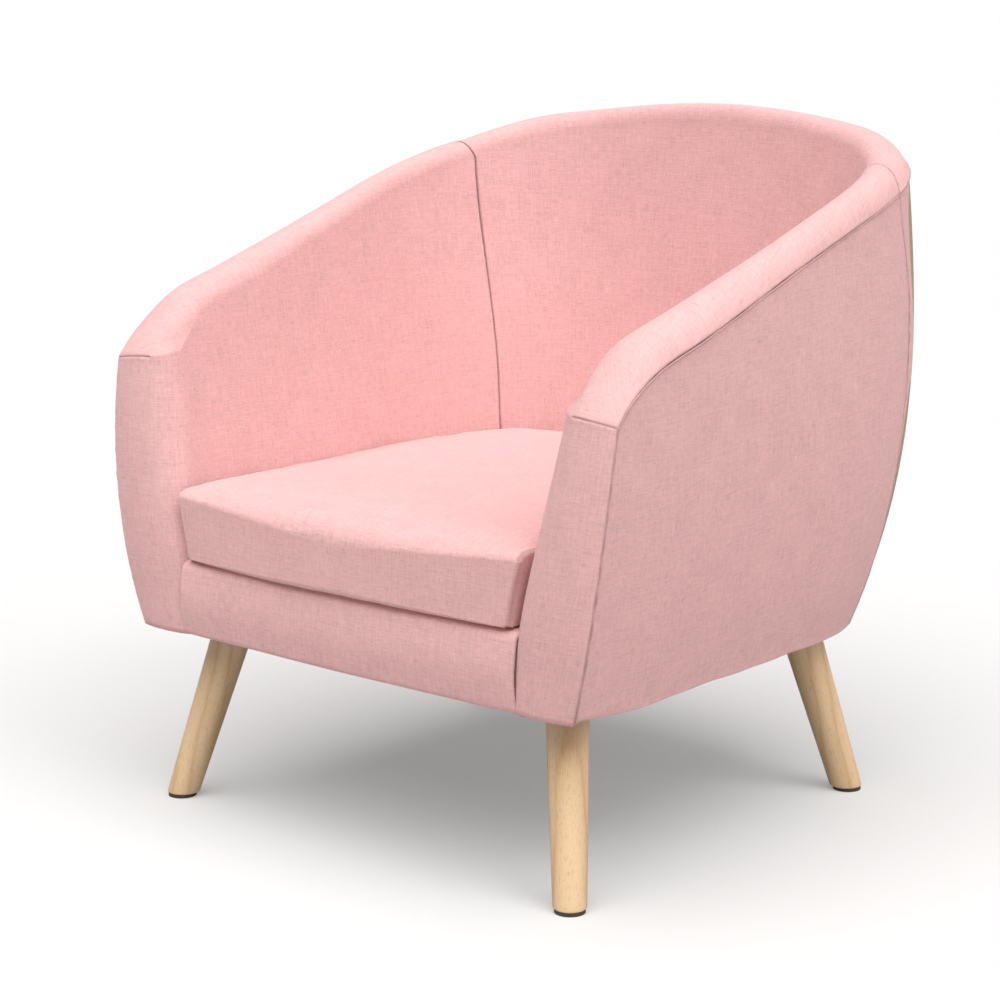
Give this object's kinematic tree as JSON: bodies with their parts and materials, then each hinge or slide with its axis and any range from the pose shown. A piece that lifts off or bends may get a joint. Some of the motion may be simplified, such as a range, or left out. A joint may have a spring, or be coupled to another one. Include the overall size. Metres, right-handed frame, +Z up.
{
  "type": "upholstered armchair",
  "caption": "Barrel-backed tub armchair with a sprung seat, a loose zipped cushion, a wrapped fabric shell and splayed turned wood legs.",
  "frame": {"origin": "on the floor, under the middle of the chair", "axes": "+Z up, the chair faces -Y, +X to the right as seen from the front"},
  "size_m": [0.7086, 0.7053, 0.7733],
  "materials": {
    "linen": "linen-look woven upholstery cloth, light pink, matte",
    "leg_wood": "clear satin lacquer on pale beech",
    "frame_timber": "sawn, unfinished",
    "panel_board": "thin bent fibreboard",
    "foam": "open-cell cushion foam",
    "felt": "needled felt",
    "deck_cloth": "plain lining cloth",
    "dust_cloth": "spun-bonded black cloth",
    "webbing": "elastic woven webbing",
    "spring_steel": "drawn wire",
    "plate_steel": "zinc plated",
    "fastener_steel": "yellow zinc plated",
    "glide_plastic": "moulded, matte",
    "zip_tape": "woven tape with coil teeth",
    "zip_metal": "nickel"
  },
  "bodies": {
    "chair": {"back_inside_cover": "linen", "back_outside_board": "panel_board", "back_outside_cover": "linen", "back_pad": "foam", "back_post": "frame_timber", "back_top_rail": "frame_timber", "back_webbing": "webbing", "corner_block_front_left": "frame_timber", "corner_block_front_right": "frame_timber", "corner_block_rear_left": "frame_timber", "corner_block_rear_right": "frame_timber", "deck_cover": "deck_cloth", "deck_felt": "felt", "dust_cover": "dust_cloth", "frame_screws": "fastener_steel", "front_border_cover": "linen", "front_border_pad": "foam", "front_rail": "frame_timber", "hanger_bolts": "fastener_steel", "left_arm_front_board": "panel_board", "left_arm_pad": "foam", "left_arm_rail": "frame_timber", "left_front_post": "frame_timber", "left_inside_cover": "linen", "left_outside_board": "panel_board", "left_outside_cover": "linen", "left_rear_post": "frame_timber", "left_side_rail": "frame_timber", "leg_front_left": "leg_wood", "leg_front_right": "leg_wood", "leg_glide_front_left": "glide_plastic", "leg_glide_front_right": "glide_plastic", "leg_glide_rear_left": "glide_plastic", "leg_glide_rear_right": "glide_plastic", "leg_plate_front_left": "plate_steel", "leg_plate_front_right": "plate_steel", "leg_plate_rear_left": "plate_steel", "leg_plate_rear_right": "plate_steel", "leg_plate_screws": "fastener_steel", "leg_rear_left": "leg_wood", "leg_rear_right": "leg_wood", "rear_rail": "frame_timber", "right_arm_front_board": "panel_board", "right_arm_pad": "foam", "right_arm_rail": "frame_timber", "right_front_post": "frame_timber", "right_inside_cover": "linen", "right_outside_board": "panel_board", "right_outside_cover": "linen", "right_rear_post": "frame_timber", "right_side_rail": "frame_timber", "seat_spring_1": "spring_steel", "seat_spring_2": "spring_steel", "seat_spring_3": "spring_steel", "seat_spring_4": "spring_steel", "spring_clips": "spring_steel"},
    "cushion": {"cushion_cover": "linen", "cushion_foam": "foam", "cushion_zip": "zip_tape"},
    "zip_slider": {"zip_slider": "zip_metal"}
  },
  "joints": [
    {"name": "cushion_lift", "type": "slide", "parent": "chair", "child": "cushion", "axis": [0, 0, 1], "range_m": [0, 0.45]},
    {"name": "zip_run", "type": "hinge", "parent": "cushion", "child": "zip_slider", "pos_m": [0, -0.5335, 0.33], "axis": [0, 0, 1], "range_deg": [0, 18]}
  ]
}
